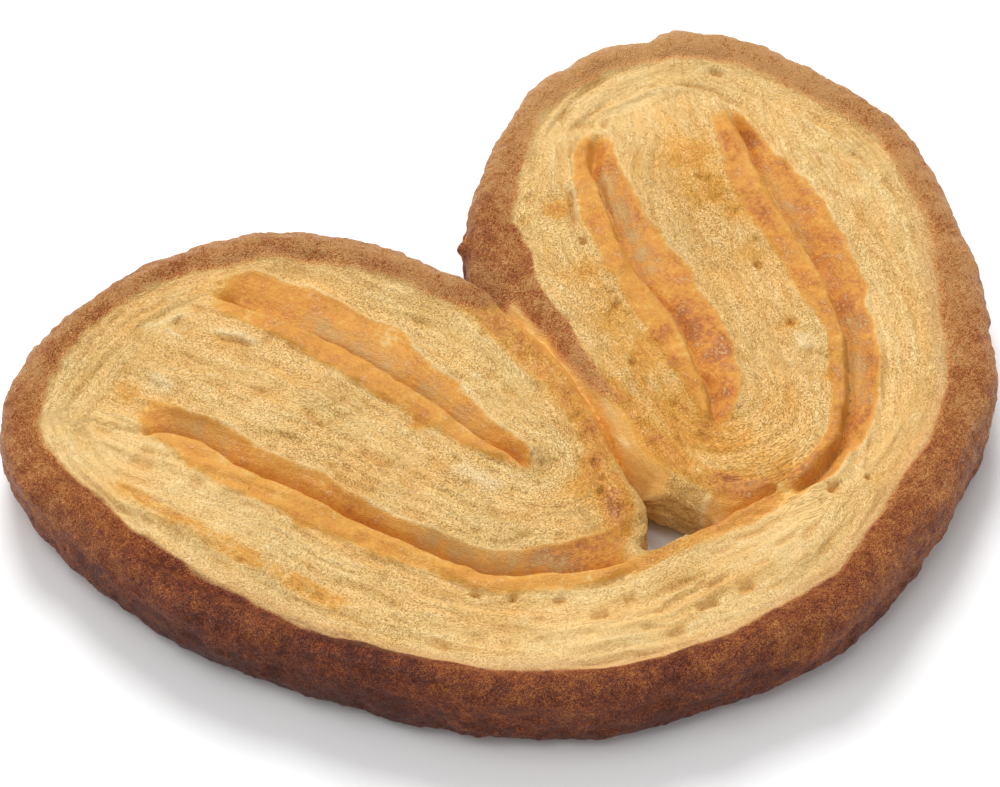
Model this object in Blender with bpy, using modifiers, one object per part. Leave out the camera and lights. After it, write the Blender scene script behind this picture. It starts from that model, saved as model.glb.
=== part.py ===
"""Palmier: one slice of sugared puff pastry rolled in from both ends, baked flat into a heart.

The slice lies flat on z = 0. +Y points to the cleft between the two lobes, +X to the larger
lobe, and the origin is under the middle of its box. All lengths below are in millimetres.
"""
import bpy
import numpy as np

MM = 0.001
NAME = "palmier"

# Driving sizes
THICKNESS = 11.5          # underside to the crest of the crust's rim
SHOULDER = 3.2            # rounding of the side wall, above and below
UNDERCUT = 0.6            # how far the wall draws in towards the underside
CRUMB_DROP = 1.2          # how far the cut crumb lies below the rim's crest
RIM_CREST = 2.6           # from the side wall in to the rim's crest
CREASE_EDGE = 1.5         # how wide the crease between the lobes is on the smaller lobe's side
SWELL = 0.45              # slow rise and fall of the whole crumb
RIM_SWELL = 0.2           # and of the rim
RIPPLE = 0.2              # unevenness of the side wall
SPAN_STEPS = 10           # straight steps between two points of a smooth line
VOXEL = 0.65
FLAT_BELOW = 0.35         # what is lower than this is pressed onto the underside
TARGET_FACES = 9600

# The side wall, counter-clockwise from the middle of the base; NOTCH is the cleft's corner
WALL = [(-3, -46.7), (6, -47.4), (14.6, -45.5), (31.9, -38.3), (41.2, -31.9), (47.6, -23.6),
        (53.4, -13.6), (57.5, -3.2), (60.3, 7.5), (58.9, 17.5), (55.9, 26.7), (50.8, 34.8),
        (43, 39.5), (33.8, 41.2), (23.3, 39.9), (14.4, 33.9), (6, 27.3), (2.8, 22.6), (1.2, 19),
        (-2.7, 27.2), (-7.5, 34.2), (-13.9, 40.3), (-22.2, 43.3), (-31, 44.8), (-41, 43.7),
        (-49.7, 40), (-57, 34.1), (-59.8, 25), (-59.2, 15.7), (-57.8, 6.2), (-53, -7),
        (-44.8, -19.7), (-35.8, -31.4), (-24.7, -39.9), (-14.2, -44.1)]
NOTCH = 18

# The gap where both lobes turn in from the base strip
GAP = [(-1.1, -15.8), (-1.7, -17.6), (-2.5, -20.2), (-3.5, -22), (-4.8, -23.6), (-6.5, -25),
       (-5.4, -25.9), (-3, -26.1), (-0.4, -26.5), (2.2, -26.9), (3, -26.2), (2.2, -24.4),
       (1.1, -21.8), (0.2, -19.8), (-0.6, -17.8)]

# The crease where the lobes press together, from the notch to the gap: x and y, how wide it is on
# the larger lobe's side, and its depth
CREASE = [(1.2, 20.5, 5.4, 3.2), (1.7, 16.5, 5.2, 3), (2.3, 11, 4.2, 2.4), (2.5, 6, 3.4, 2.2),
          (2.4, 2, 2.8, 2.2), (1.9, -2, 2.6, 2.4), (0.9, -6.8, 3, 2.8), (0.2, -10.6, 3.5, 3.4),
          (-0.6, -14, 3.8, 4.2), (-1.3, -17, 4, 5)]

# Width of the rim, at places around the wall
RIM_WIDTHS = [((-27, -38), 4.2), ((-47, -14), 3.5), ((-58.5, 6), 3.6), ((-59.5, 20), 4.8),
              ((-50, 40), 4.2), ((-34, 45), 4.3), ((-18, 37), 5.6), ((-4, 27), 4.6),
              ((5, 25), 7.0), ((18, 36), 4.8), ((34, 42), 4.8), ((50, 34), 5.6), ((58, 17), 5.3),
              ((57, -3), 4.5), ((45, -26), 6.4), ((25, -41), 6.0), ((5, -47), 5.6), ((-14, -44), 4.1)]

# The folds' sunken seams, each followed from the cleft's side down: its line, how far its floor
# reaches to the right and to the left of that way, and its depth
SEAMS = {
    "left_inner": ([(-25.5, 34.5), (-21.6, 28.5), (-18.5, 22.3), (-15.8, 16), (-13.8, 6), (-12.3, -1),
                    (-9.8, -7.5)], 1.1, 3.0, 2.2),
    "left_outer": ([(-44, 23), (-39.3, 17.5), (-37.8, 11.8), (-34.3, 5), (-31.3, -2.6), (-28.4, -8.6),
                    (-25.2, -15.5), (-20.6, -20.2), (-13.5, -24.8), (-7.5, -25.8)], 1.0, 2.0, 2.2),
    "right_inner": ([(27.5, 28), (24, 23.5), (21, 17.5), (18.6, 11.5), (17.1, 5.5), (16.4, 0),
                     (15.4, -6), (14.2, -12)], 0.9, 2.0, 1.8),
    "right_outer": ([(44, 22), (42, 16.5), (40, 11), (38.5, 6), (37, 1), (35.5, -4), (34.3, -8.5),
                     (32.8, -13), (30.6, -17.5), (27.5, -21.5)], 0.9, 2.2, 1.8),
    "right_foot": ([(0, -26.6), (3.5, -27.2), (6.5, -27.8), (10, -28.3)], 0.8, 2.6, 2.0),
}

# The puffed lips and crests beside them: a line, half its width, and its height
LIPS = {
    "left_inner": ([(-30.5, 35.5), (-28, 33.5), (-24, 27.5), (-21, 21.5), (-18, 15.5), (-16, 5.5),
                    (-14.5, -1.5), (-12, -8)], 1.7, 0.9),
    "left_inner_edge": ([(-24, 37), (-17, 29.5), (-12.5, 21.5), (-10, 13.5), (-9, 5.5), (-8.5, -3),
                         (-8, -9)], 1.0, 0.35),
    "left_outer": ([(-46, 21.5), (-41.5, 16.5), (-40, 11), (-36.5, 4), (-33.5, -3.5), (-30.5, -9.5),
                    (-27, -17), (-22, -22), (-14.5, -27), (-8, -28)], 1.5, 0.7),
    "left_outer_edge": ([(-41.5, 27), (-37.5, 21), (-35, 15), (-32, 7), (-29, -1), (-26.5, -8.5),
                         (-23, -15), (-18.5, -18.5), (-12, -20.5), (-5.5, -20)], 1.1, 0.35),
    "left_strip": ([(-51.5, 20.5), (-50, 10), (-46.5, 2), (-42.5, -6.5), (-38, -14), (-33.5, -20.5)],
                   1.4, 0.5),
    "right_inner": ([(25, 28), (22, 23), (19, 17.5), (16.5, 11.5), (15, 5.5), (14, -2), (12.5, -11)],
                    1.2, 0.6),
    "right_inner_edge": ([(29.5, 27), (27, 23.5), (24.5, 17.5), (23, 12), (21.5, 2.5), (19, -7.5),
                          (15.5, -16)], 1.8, 0.8),
    "right_outer": ([(42.5, 23), (40, 16), (38, 11), (36.5, 6), (35, 1.5), (33.5, -2.5), (32.5, -7),
                     (31, -11.5), (29.5, -15.5), (27.5, -19), (25, -23)], 1.3, 0.6),
    "right_outer_edge": ([(44, 18.5), (44.6, 12.5), (44.3, 6.5), (43, 1.5), (41.5, -3.5), (39, -9.5),
                          (35.5, -16)], 1.2, 0.4),
}


def smooth_line(points, closed=False, corners=()):
    """Catmull-Rom line through the points, which may turn sharply at the corners."""
    points = np.asarray(points, float)
    count = len(points)
    spans = count if closed else count - 1
    line = []
    for i in range(spans):
        a, b = points[i], points[(i + 1) % count]
        before = points[i - 1] if closed or i > 0 else 2 * a - b
        after = points[(i + 2) % count] if closed or i + 2 < count else 2 * b - a
        slope_a = (b - before) / 2 if i not in corners else b - a
        slope_b = (after - a) / 2 if (i + 1) % count not in corners else b - a
        for t in np.arange(SPAN_STEPS) / SPAN_STEPS:
            line.append(a * (2 * t**3 - 3 * t**2 + 1) + slope_a * (t**3 - 2 * t**2 + t)
                        + b * (3 * t**2 - 2 * t**3) + slope_b * (t**3 - t**2))
    if not closed:
        line.append(points[-1])
    return np.array(line)


def nearest(line, xy, closed=False):
    """Distance from each point to the line, how far along it that is, and on which side."""
    ends = np.roll(line, -1, axis=0) if closed else line[1:]
    starts = line if closed else line[:-1]
    runs = ends - starts
    lengths = np.linalg.norm(runs, axis=1)
    reached = np.concatenate([[0.0], np.cumsum(lengths)])
    best = np.full(len(xy), np.inf)
    along = np.zeros(len(xy))
    left = np.zeros(len(xy), bool)
    for start, run, length, at in zip(starts, runs, lengths, reached):
        offset = xy - start
        part = np.clip(offset @ run / length**2, 0, 1)
        gap = np.linalg.norm(offset - part[:, None] * run, axis=1)
        closer = gap < best
        best[closer] = gap[closer]
        along[closer] = (at + part * length)[closer] / reached[-1]
        left[closer] = (run[0] * offset[:, 1] > run[1] * offset[:, 0])[closer]
    return best, along, left


def ease(value, low, high):
    """0 at low, 1 at high, smooth between."""
    t = np.clip((value - low) / (high - low), 0, 1)
    return t * t * (3 - 2 * t)


def uneven(places, size):
    """Smooth unevenness, about 1 high and of the given size across, from six crossed waves."""
    total = np.zeros(len(places))
    for i in range(6):
        direction = np.array([np.cos(2.4 * i), np.sin(2.4 * i), 0.9 * np.sin(1.7 * i)])
        length = size * (0.8 + 0.12 * i)
        total += np.sin(places @ direction[:places.shape[1]] * 2 * np.pi / length + 1.3 * i)
    return total / np.sqrt(3)


def rim_width(xy):
    """The rim's width, blended from the stated places by closeness."""
    places = np.array([place for place, _ in RIM_WIDTHS], float)
    widths = np.array([width for _, width in RIM_WIDTHS])
    gaps = np.linalg.norm(xy[:, None] - places[None], axis=2)
    weights = 1 / (gaps + 4.0)**3
    return weights @ widths / weights.sum(axis=1)


def band(line_points, half_right, half_left, xy):
    """1 along a line, falling off to its sides and tapering to nothing at its ends."""
    gap, along, left = nearest(smooth_line(line_points), xy)
    half = np.where(left, half_left, half_right)
    return np.exp(-(gap / half)**2) * ease(along, 0, 0.12) * ease(1 - along, 0, 0.12)


def crease_depth(xy):
    """Depth of the crease: a steep edge on the smaller lobe's side, a slope on the other."""
    line = smooth_line(CREASE)
    gap, along, left = nearest(line[:, :2], xy)
    runs = np.linalg.norm(np.diff(line[:, :2], axis=0), axis=1)
    reached = np.concatenate([[0.0], np.cumsum(runs)]) / runs.sum()
    slope = np.interp(along, reached, line[:, 2])
    depth = np.interp(along, reached, line[:, 3])
    return depth * (1 - gap / np.where(left, slope, CREASE_EDGE)).clip(0)**2


def top_relief(xy):
    """Height of the upper face, measured from the rim's crest."""
    wall = smooth_line(WALL, closed=True, corners=(NOTCH,))
    inside, _, _ = nearest(wall, xy, closed=True)
    relief = -CRUMB_DROP * ease(inside, RIM_CREST, rim_width(xy) + 0.6)
    relief += SWELL * uneven(xy, 45) * ease(inside, 3, 9) - RIM_SWELL * (1 + uneven(xy, 24)) / 2
    for points, right, left, depth in SEAMS.values():
        relief -= depth * band(points, right, left, xy)
    for points, half, height in LIPS.values():
        relief += height * band(points, half, half, xy)
    return relief - crease_depth(xy)


def slab():
    """The outline with the gap in it, filled and extruded, with rounded shoulders."""
    curve = bpy.data.curves.new(NAME, "CURVE")
    curve.dimensions = "2D"
    curve.fill_mode = "BOTH"
    curve.extrude = (THICKNESS / 2 - SHOULDER) * MM
    curve.bevel_depth = SHOULDER * MM
    curve.bevel_resolution = 4
    curve.offset = -SHOULDER * MM
    for points, corners in ((WALL, (NOTCH,)), (GAP, ())):
        line = smooth_line(points, closed=True, corners=corners)
        spline = curve.splines.new("POLY")
        spline.points.add(len(line) - 1)
        for point, (x, y) in zip(spline.points, line):
            point.co = (x * MM, y * MM, 0, 1)
        spline.use_cyclic_u = True
    return bpy.data.objects.new(NAME, curve)


def evaluated_mesh(source):
    """A plain mesh of an object as its modifiers leave it."""
    graph = bpy.context.evaluated_depsgraph_get()
    return bpy.data.meshes.new_from_object(source.evaluated_get(graph))


def remesh(piece):
    """Even quads all over, which the relief can then move."""
    modifier = piece.modifiers.new("Even", "REMESH")
    modifier.mode = "VOXEL"
    modifier.voxel_size = VOXEL * MM
    bpy.context.view_layer.update()
    mesh = evaluated_mesh(piece)
    piece.modifiers.remove(modifier)
    piece.data = mesh


def shape(mesh):
    """Lay the relief on the upper face, draw the wall in below, and flatten the underside."""
    count = len(mesh.vertices)
    points = np.empty(count * 3, np.float32)
    normals = np.empty(count * 3, np.float32)
    mesh.vertices.foreach_get("co", points)
    mesh.vertices.foreach_get("normal", normals)
    points = points.reshape(count, 3).astype(float) / MM
    normals = normals.reshape(count, 3).astype(float)
    points[:, 2] += THICKNESS / 2
    height = points[:, 2].copy()
    wall = smooth_line(WALL, closed=True, corners=(NOTCH,))
    inside, _, _ = nearest(wall, points[:, :2], closed=True)
    near_wall = 1 - ease(inside, 2, 9)
    low = (1 - ease(height, 0, 0.6 * THICKNESS)) * near_wall
    ripple = RIPPLE * uneven(points, 15) * near_wall * ease(height, 0.5, 4)
    points[:, 2] += top_relief(points[:, :2]) * ease(height, 1.5, THICKNESS)
    out = points[:, :2] / np.linalg.norm(points[:, :2], axis=1)[:, None]
    points[:, :2] += normals[:, :2] * ripple[:, None] - out * (UNDERCUT * low)[:, None]
    points[points[:, 2] < FLAT_BELOW, 2] = 0
    middle = (points.min(axis=0) + points.max(axis=0)) / 2
    points[:, :2] -= middle[:2]
    mesh.vertices.foreach_set("co", (points * MM).astype(np.float32).ravel())
    mesh.update()


def thin_out(piece):
    """Fewer triangles where the surface is even."""
    modifier = piece.modifiers.new("Fewer", "DECIMATE")
    modifier.ratio = TARGET_FACES / sum(len(face.vertices) - 2 for face in piece.data.polygons)
    modifier.use_collapse_triangulate = True


def baked_pastry():
    """Golden brown, dry and slightly glazed."""
    material = bpy.data.materials.new("baked_pastry")
    material.use_nodes = True
    shader = material.node_tree.nodes["Principled BSDF"]
    shader.inputs["Base Color"].default_value = (0.60, 0.32, 0.11, 1)
    shader.inputs["Roughness"].default_value = 0.6
    shader.inputs["Metallic"].default_value = 0.0
    return material


def main():
    for old in list(bpy.data.objects):
        bpy.data.objects.remove(old)
    parts = bpy.data.collections.new("Palmier")
    bpy.context.scene.collection.children.link(parts)
    outline = slab()
    parts.objects.link(outline)
    bpy.context.view_layer.update()
    mesh = evaluated_mesh(outline)
    bpy.data.objects.remove(outline)
    piece = bpy.data.objects.new(NAME, mesh)
    parts.objects.link(piece)
    remesh(piece)
    shape(piece.data)
    thin_out(piece)
    piece.data.materials.clear()
    piece.data.materials.append(baked_pastry())
    piece.data.shade_smooth()


main()
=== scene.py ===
"""Looks of the palmier: its layered crumb, folded seams, puffed lips and browned sugar crust.

One closed mesh replaces the plain solid. It grows from the same outline, gap and crease as the
solid, in millimetres, and its fine relief and colours follow the dough's layers round the folds.
"""
import math

import bpy
import numpy as np
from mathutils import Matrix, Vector


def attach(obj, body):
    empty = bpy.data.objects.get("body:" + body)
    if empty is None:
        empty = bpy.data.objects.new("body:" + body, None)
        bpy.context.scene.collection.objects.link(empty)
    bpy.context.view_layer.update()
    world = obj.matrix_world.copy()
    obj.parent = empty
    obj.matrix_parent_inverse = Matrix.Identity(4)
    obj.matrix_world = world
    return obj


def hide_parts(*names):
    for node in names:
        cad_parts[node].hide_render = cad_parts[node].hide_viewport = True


MM = 0.001
TINY = 1e-6
NODE = "palmier"
SLOT = "baked_pastry"
PIECE = "palmier_pastry"

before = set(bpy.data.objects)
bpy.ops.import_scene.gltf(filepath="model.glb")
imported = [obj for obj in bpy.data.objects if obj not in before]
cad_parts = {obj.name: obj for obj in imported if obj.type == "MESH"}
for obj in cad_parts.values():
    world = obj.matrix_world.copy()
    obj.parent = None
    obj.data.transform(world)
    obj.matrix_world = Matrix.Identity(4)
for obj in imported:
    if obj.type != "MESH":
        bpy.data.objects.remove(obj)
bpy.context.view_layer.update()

# ---------------------------------------------------------------- design lines, as in the solid
THICKNESS = 11.5          # underside to the crest of the crust's rim
SHOULDER = 3.2            # rounding of the side wall, above and below
UNDERCUT = 0.6            # how far the wall draws in towards the underside
CRUMB_DROP = 1.2          # how far the cut crumb lies below the rim's crest
RIM_CREST = 2.6           # from the side wall in to the rim's crest
CREASE_EDGE = 1.5         # how wide the crease between the lobes is on the smaller lobe's side
SWELL = 0.45              # slow rise and fall of the whole crumb
RIM_SWELL = 0.2           # and of the rim
RIPPLE = 0.2              # unevenness of the side wall
FLAT_BELOW = 0.35         # what is lower than this is pressed onto the underside
PLATEAU = 3.2             # how far below the crest the fine relief starts

# The side wall, counter-clockwise from the middle of the base; NOTCH is the cleft's corner
WALL = [(-3, -46.7), (6, -47.4), (14.6, -45.5), (31.9, -38.3), (41.2, -31.9), (47.6, -23.6),
        (53.4, -13.6), (57.5, -3.2), (60.3, 7.5), (58.9, 17.5), (55.9, 26.7), (50.8, 34.8),
        (43, 39.5), (33.8, 41.2), (23.3, 39.9), (14.4, 33.9), (6, 27.3), (2.8, 22.6), (1.2, 19),
        (-2.7, 27.2), (-7.5, 34.2), (-13.9, 40.3), (-22.2, 43.3), (-31, 44.8), (-41, 43.7),
        (-49.7, 40), (-57, 34.1), (-59.8, 25), (-59.2, 15.7), (-57.8, 6.2), (-53, -7),
        (-44.8, -19.7), (-35.8, -31.4), (-24.7, -39.9), (-14.2, -44.1)]
NOTCH = 18

# The gap where both lobes turn in from the base strip
GAP = [(-1.1, -15.8), (-1.7, -17.6), (-2.5, -20.2), (-3.5, -22), (-4.8, -23.6), (-6.5, -25),
       (-5.4, -25.9), (-3, -26.1), (-0.4, -26.5), (2.2, -26.9), (3, -26.2), (2.2, -24.4),
       (1.1, -21.8), (0.2, -19.8), (-0.6, -17.8)]

# The crease where the lobes press together, from the notch to the gap: x and y, how wide it is on
# the larger lobe's side, and its depth
CREASE = [(1.2, 20.5, 5.4, 3.2), (1.7, 16.5, 5.2, 3), (2.3, 11, 4.2, 2.4), (2.5, 6, 3.4, 2.2),
          (2.4, 2, 2.8, 2.2), (1.9, -2, 2.6, 2.4), (0.9, -6.8, 3, 2.8), (0.2, -10.6, 3.5, 3.4),
          (-0.6, -14, 3.8, 4.2), (-1.3, -17, 4, 5)]

# Width of the rim, at places around the wall
RIM_WIDTHS = [((-27, -38), 4.2), ((-47, -14), 3.5), ((-58.5, 6), 3.6), ((-59.5, 20), 4.8),
              ((-50, 40), 4.2), ((-34, 45), 4.3), ((-18, 37), 5.6), ((-4, 27), 4.6),
              ((5, 25), 7.0), ((18, 36), 4.8), ((34, 42), 4.8), ((50, 34), 5.6), ((58, 17), 5.3),
              ((57, -3), 4.5), ((45, -26), 6.4), ((25, -41), 6.0), ((5, -47), 5.6),
              ((-14, -44), 4.1)]

# ---------------------------------------------------------------- finer shape, in millimetres
VOXEL = 0.27
FACES = 195000                    # triangles in the finished mesh, at most
SPAN_STEPS = 8                    # straight steps between two points of a smooth line
WARP = ((6.0, 0.9), (2.2, 0.4))   # size and amount of the waviness of every line
LAYER_LEAN = 0.8                  # how far the layers lean out for each millimetre of depth
CHART_REACH = 15.0                # how far a layer line is carried on beyond its ends
CHART_APART = 30.0                # keeps the random relief of two layer lines apart
OFF_START, OFF_END = 4.0, 1.2     # how much faster a layer line stops counting past its ends
HAIRPIN_RADIUS = 5.0              # of the layers' turn round the end of an inner fold
WALL_LAYERS = (8, 12)             # how far from the wall its own layers fade out, and are gone
SEAM_BLEND = 3                    # over what difference of distance two lines share the layers
FOLD_MARGIN = 8                   # a fold's relief ends within this distance of its crevice

# Seeds of the random relief
SEED_RIM, SEED_PLUMP, SEED_WARP = 3, 4, 90
SEED_SLOT, SEED_BUBBLE, SEED_PORE = 21, 22, 23
SEED_GOLD_FINE, SEED_GOLD_WIDE = 31, 32
SEED_FROTH, SEED_LIP, SEED_RAGGED = 61, 62, 64
SEED_GRANULE, SEED_SAND, SEED_BLISTER, SEED_FLAKE, SEED_WRINKLE = 70, 71, 72, 73, 74

# Strengths of the fine relief, in millimetres
SLOT_DEPTH, PORE_DEPTH, BUBBLE_DEPTH = 0.35, 0.3, 0.25
FLOOR_CUT = 0.35                  # the crack in a fold's crevice
CREST_RISE = 0.3                  # a pale crest
LIP_LUMPS = 0.55                  # unevenness of a puffed lip
GRANULES, BLISTERS, FLAKES, WRINKLES = 0.34, 0.65, 0.3, 0.7

# Sizes of the crust's relief, in millimetres
GRANULE, SAND, BLISTER, FLAKE = 1.1, 0.55, 3.2, (6, 6, 0.9)

# The seams that the layers run beside or wind round, each followed from the cleft's side down
SEAMS = {
    "left_inner": [(-25.5, 34.5), (-21.6, 28.5), (-18.5, 22.3), (-15.8, 16), (-13.8, 6),
                   (-12.3, -1), (-9.8, -7.5)],
    "left_outer": [(-44, 23), (-34.3, 5), (-31.3, -2.6), (-28.4, -8.6), (-25.2, -15.5),
                   (-20.6, -20.2), (-13.5, -24.8), (-7.5, -25.8)],
    "right_inner": [(27.5, 28), (24, 23.5), (21, 17.5), (18.6, 11.5), (17.1, 5.5), (16.4, 0),
                    (15.4, -6), (14.2, -12)],
    "right_outer": [(44, 22), (42, 16.5), (40, 11), (38.5, 6), (37, 1), (35.5, -4), (34.3, -8.5),
                    (32.8, -13), (30.6, -17.5), (27.5, -21.5)],
}

# The low lip along the left edge: its line, half its width, and its height
STRIP_LIP = ([(-51.5, 20.5), (-50, 10), (-46.5, 2), (-42.5, -6.5), (-38, -14), (-33.5, -20.5)],
             1.4, 0.5)

# The folds, followed from the cleft's side down: x and y along the crevice, with the widths of the
# puffed lip on its right and of the toasted wall on its left, seen along that way; then the
# crevice's depth, the lip's height, and how toasted the lip and the wall are
FOLDS = {
    "left_outer": ([(-46, 24, 1.5, 1.5), (-42.5, 21.5, 2.2, 3), (-39.6, 17.5, 4.2, 2.8),
                    (-38, 12, 4.2, 3), (-35, 6, 4.6, 2.5), (-31.8, -1.5, 4.1, 2),
                    (-28.6, -8.6, 3.9, 1.8), (-25.2, -15.5, 3.8, 2), (-20.6, -20.6, 3.8, 2.4),
                    (-14, -24.6, 3.2, 4.4), (-8, -26.4, 2.4, 5.5)], 2.1, 0.5, 0.46, 0.56),
    "left_inner": ([(-26.5, 36, 2, 2), (-25.3, 34.3, 2.6, 4), (-21.6, 28.7, 3.3, 6),
                    (-18, 22.5, 4.3, 6), (-15.4, 16.5, 4.5, 5), (-13.6, 8, 4.4, 3.8),
                    (-12.5, 0, 3.4, 2.8), (-11.2, -6, 2.2, 1.6), (-10.5, -9.5, 1.4, 1)],
                   2.1, 0.6, 0.54, 0.56),
    "right_inner": ([(29, 29.5, 1, 1), (26.7, 27.7, 2, 2), (24, 24.3, 3, 3), (22, 19, 4.1, 3.4),
                     (19.9, 13.5, 3.9, 4.4), (18.8, 9, 4, 5), (18, 4, 4.1, 5.2),
                     (17.3, -1, 4.1, 5), (16.1, -6, 3.8, 4.4), (14.5, -10, 3.2, 4.2),
                     (12.5, -14, 2.4, 3), (10.5, -17.5, 1.5, 2)], 1.7, 0.45, 0.56, 0.68),
    "right_outer": ([(44.2, 24, 2, 1), (43.8, 21.5, 3, 1.2), (42.7, 18, 3.8, 1.6),
                     (41.4, 14, 4.4, 2.8), (40.3, 10, 4.6, 3.8), (39.2, 6, 4.5, 4.2),
                     (38.1, 2, 4.3, 4.4), (37, -2, 4.1, 4.5), (36, -5.5, 4, 4.2),
                     (34.9, -9, 3.8, 3.9), (33.4, -13, 3.4, 3.6), (31, -17, 2.8, 3.6),
                     (28.5, -20, 2.4, 3.6), (25.5, -23.5, 2.3, 3), (21.5, -26.8, 2.3, 2.4),
                     (16, -29.3, 2.2, 1.8), (10, -30.8, 2, 1.2)], 1.8, 0.5, 0.66, 0.70),
    "right_foot": ([(-2, -26.4, 1, 1), (1, -26.9, 1.6, 2.2), (4, -27.4, 1.7, 2.8),
                    (7, -27.9, 1.5, 2.4), (10.5, -28.4, 1, 1)], 1.8, 0.3, 0.50, 0.20),
}

# Layers: spacing across, run along, relief, seed, and whether the ridges have crisp crests
LAYERS = [(3.2, 24, 0.22, 11, False), (1.5, 10, 0.26, 12, True), (0.8, 4.5, 0.12, 13, False)]

# How frothy the crumb is at places, from layered (0) to frothy (1)
FROTHY = [((-27, 8), 1.0), ((-22, -6), 1.0), ((-36, 29), 0.6), ((-7, 5), 0.7), ((-13, -14), 0.8),
          ((-43, 2), 0.4), ((-20, -32), 0.1), ((5, -34), 0.05), ((27, 5), 0.8), ((12, 5), 0.9),
          ((10, -15), 0.9), ((22, -18), 0.9), ((45, 10), 0.5), ((40, -20), 0.5), ((33, 33), 0.2),
          ((-50, 20), 0.2), ((25, -31), 0.2)]

# How golden the crumb is at places, from pale yellow (0) to golden orange (1)
GOLDEN = [((-27, 8), 0.3), ((-36, 29), 0.5), ((-27, 33), 0.6), ((-50, 20), 0.0), ((-43, 2), 0.2),
          ((-22, -6), 0.3), ((-7, 5), 0.2), ((-8, 22), 0.2), ((-9, -17), 0.6), ((-20, -32), 0.1),
          ((5, -34), 0.1), ((25, -31), 0.3), ((45, 10), 0.3), ((36, 36), 0.0), ((22, 33), 0.0),
          ((12, 20), 0.2), ((11, 5), 0.9), ((8, -15), 0.9), ((20, -18), 0.7), ((33, 14), 0.8),
          ((28, -5), 0.6), ((42, -14), 0.25)]

# Slits, cracks and the edges of bubbles, painted darker as shade in their openings: a line, half
# its width, and its depth
SLITS = [
    ([(-27.3, 14.5), (-27.6, 12), (-26.9, 9.8)], 0.35, 0.7),
    ([(-22.3, 14), (-22.2, 11), (-21.2, 8.8)], 0.35, 0.5),
    ([(-25.7, 5), (-25.4, 2.5), (-24.3, 0.5)], 0.35, 0.5),
    ([(-24.4, -0.5), (-24, -3), (-22.8, -5.2)], 0.35, 0.5),
    ([(-33, 33.5), (-31.3, 31)], 0.3, 0.4),
    ([(-29.5, 30), (-27.3, 27.3), (-26.2, 25)], 0.35, 0.6),
    ([(-34.8, 28.5), (-32.5, 25)], 0.3, 0.3),
    ([(-44.5, 23.2), (-43.6, 21.6)], 0.5, 0.6),
    ([(-51, 19.5), (-50, 15), (-49.3, 11), (-47.5, 7)], 0.4, 0.6),
    ([(16, 17.5), (17.5, 20.5), (19.3, 24.5)], 0.35, 0.8),
    ([(36.5, -1), (37.4, 0.8), (38.3, 3)], 0.35, 0.9),
    ([(29.3, 29.2), (31.5, 30.3)], 0.3, 0.6),
    ([(40, 31), (43.3, 27.5), (45, 24), (46, 20.5)], 0.3, 0.5),
    ([(33.2, 15.7), (33.8, 14.3), (35.2, 14)], 0.35, 0.5),
    ([(33.2, 9.8), (33.5, 8.3), (35, 7.9)], 0.35, 0.5),
    ([(5.6, -15), (5.3, -18)], 0.3, 0.6),
    ([(8.2, -16.5), (8.2, -18.8)], 0.5, 0.6),
    ([(-2.6, 1.5), (-2.9, -1)], 0.3, 0.5),
    ([(-4, -11.5), (-4.6, -13.8)], 0.35, 0.7),
    ([(-6.2, -16), (-6.6, -17)], 0.5, 0.7),
    ([(-5, -14.5), (-5.4, -15.5)], 0.4, 0.6),
    ([(30.2, 0.6), (30.7, -0.6)], 0.5, 0.7),
    ([(32.5, 3.5), (33.3, 2.5)], 0.5, 0.6),
    ([(28, -8.5), (28.4, -9.6)], 0.5, 0.7),
    ([(9.3, -3), (8.6, -4)], 0.5, 0.8),
    ([(12.3, 5.8), (13, 4.5)], 0.6, 0.5),
    ([(15, 15.8), (16, 15.3)], 0.4, 0.7),
    ([(46.6, 30), (47.6, 28)], 0.35, 0.7),
    ([(14.2, -33), (16.8, -32.2)], 0.35, 0.9),
    ([(19, -33.7), (20, -33.9)], 0.35, 1.0),
    ([(-24.9, 36.5), (-24.2, 36.8)], 0.35, 0.6),
    ([(-27.5, -19.5), (-26.8, -20.8)], 0.4, 0.6),
    ([(-24.3, -22.8), (-23.7, -24)], 0.5, 0.8),
    ([(-14.2, -31), (-12.5, -31.7)], 0.5, 0.6),
    ([(-6.3, -33.8), (-4.3, -34.6)], 0.4, 0.6),
    ([(-8, -36.8), (-5, -37.8)], 0.45, 0.7),
    ([(-2.6, -37.6), (-0.6, -38)], 0.5, 0.6),
    ([(-13, -37.4), (-10.2, -38)], 0.4, 0.6),
    ([(-21, -26.3), (-19.5, -27)], 0.35, 0.6),
    ([(-19, -30.5), (-16.5, -31.6)], 0.35, 0.5),
    ([(-2, -31.5), (2, -32)], 0.3, 0.4),
    ([(4, -35.5), (8, -35.3)], 0.3, 0.4),
    ([(20, -31), (24, -29.2)], 0.3, 0.4),
    ([(51.5, 8), (51.8, 5)], 0.35, 0.6),
    ([(51.6, 2), (51.2, -1.5)], 0.35, 0.6),
]

# More toasted crumb: a line, half its width, and how strongly
TOASTED = [
    ([(-51, 19), (-49, 10), (-46, 2), (-42.5, -6), (-38.5, -13)], 1.3, 0.30),
    ([(-1, 19), (-0.5, 12), (0.1, 6), (0, 0), (-0.6, -6), (-1.5, -10.5), (-2.9, -14.5)], 2.3, 0.55),
    ([(4.1, -1), (4.1, -9), (3.2, -17.6), (5.8, -24.6), (10.8, -27), (15.2, -26.6)], 1.5, 0.50),
    ([(8.3, -4.3), (7, -8.7), (6.4, -15), (7.8, -19), (11.2, -20.6), (15, -19.4)], 0.8, 0.30),
    ([(-3.6, -10), (-4.8, -15.5), (-7, -20.5), (-10, -22.5), (-15, -22.3), (-20, -19.5)],
     1.9, 0.55),
    ([(-12, -27.6), (-8, -27.8), (-4, -28.2), (0, -29), (5, -29.4), (11, -30.2)], 1.2, 0.50),
]
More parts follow.
